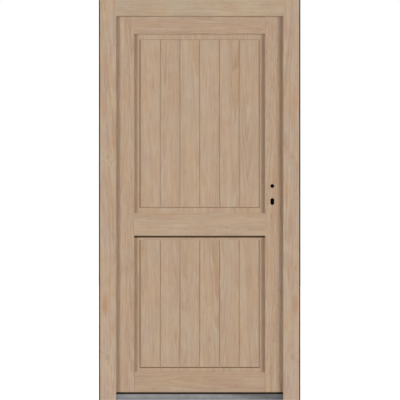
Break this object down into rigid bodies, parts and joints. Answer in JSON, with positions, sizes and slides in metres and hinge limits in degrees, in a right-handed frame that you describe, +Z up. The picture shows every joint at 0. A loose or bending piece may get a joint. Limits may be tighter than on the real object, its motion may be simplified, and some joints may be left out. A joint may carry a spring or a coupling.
{
  "type": "side door",
  "caption": "Softwood side door: framed leaf with two vee-jointed boarded panels, hung in a rebated wooden frame with a metal threshold; opens inwards.",
  "frame": {"origin": "on the wall face of the hinge jamb, at floor level, in the middle of the frame's depth", "axes": "+X from the hinge jamb to the lock jamb, +Y from outside to inside, +Z up"},
  "size_m": [1.006, 0.0825, 2],
  "materials": {
    "spruce_frame": "pale sanded softwood, vertical grain on the jambs, level on the head",
    "spruce_leaf": "pale sanded softwood",
    "spruce_boards": "pale sanded softwood, upright grain",
    "grey_aluminium": "satin anodised",
    "black_rubber": "matt",
    "dark_foam": "matt",
    "black_steel": "matt black",
    "bright_steel": "brushed",
    "zinced_steel": "zinc plated"
  },
  "bodies": {
    "frame": {"bottom_hinge_frame_flag": "zinced_steel", "head": "spruce_frame", "head_gasket": "black_rubber", "hinge_jamb": "spruce_frame", "hinge_side_gasket": "black_rubber", "hinge_side_sealing_strip": "dark_foam", "lock_jamb": "spruce_frame", "lock_side_gasket": "black_rubber", "lock_side_sealing_strip": "dark_foam", "middle_hinge_frame_flag": "zinced_steel", "strike_plate": "bright_steel", "threshold": "grey_aluminium", "threshold_seal": "black_rubber", "top_hinge_frame_flag": "zinced_steel"},
    "leaf": {"bottom_hinge_leaf_flag": "zinced_steel", "bottom_rail": "spruce_leaf", "dead_bolt": "bright_steel", "hinge_stile": "spruce_leaf", "latch_bolt": "bright_steel", "lock_case": "black_steel", "lock_forend": "bright_steel", "lock_stile": "spruce_leaf", "lower_board_1": "spruce_boards", "lower_board_2": "spruce_boards", "lower_board_3": "spruce_boards", "lower_board_4": "spruce_boards", "lower_board_5": "spruce_boards", "lower_board_6": "spruce_boards", "middle_hinge_leaf_flag": "zinced_steel", "middle_rail": "spruce_leaf", "top_hinge_leaf_flag": "zinced_steel", "top_rail": "spruce_leaf", "upper_board_1": "spruce_boards", "upper_board_2": "spruce_boards", "upper_board_3": "spruce_boards", "upper_board_4": "spruce_boards", "upper_board_5": "spruce_boards", "upper_board_6": "spruce_boards"}
  },
  "joints": [
    {"name": "leaf_hinge", "type": "hinge", "parent": "frame", "child": "leaf", "pos_m": [0.0695, 0.0415, 0], "axis": [0, 0, 1], "range_deg": [0, 110]}
  ]
}
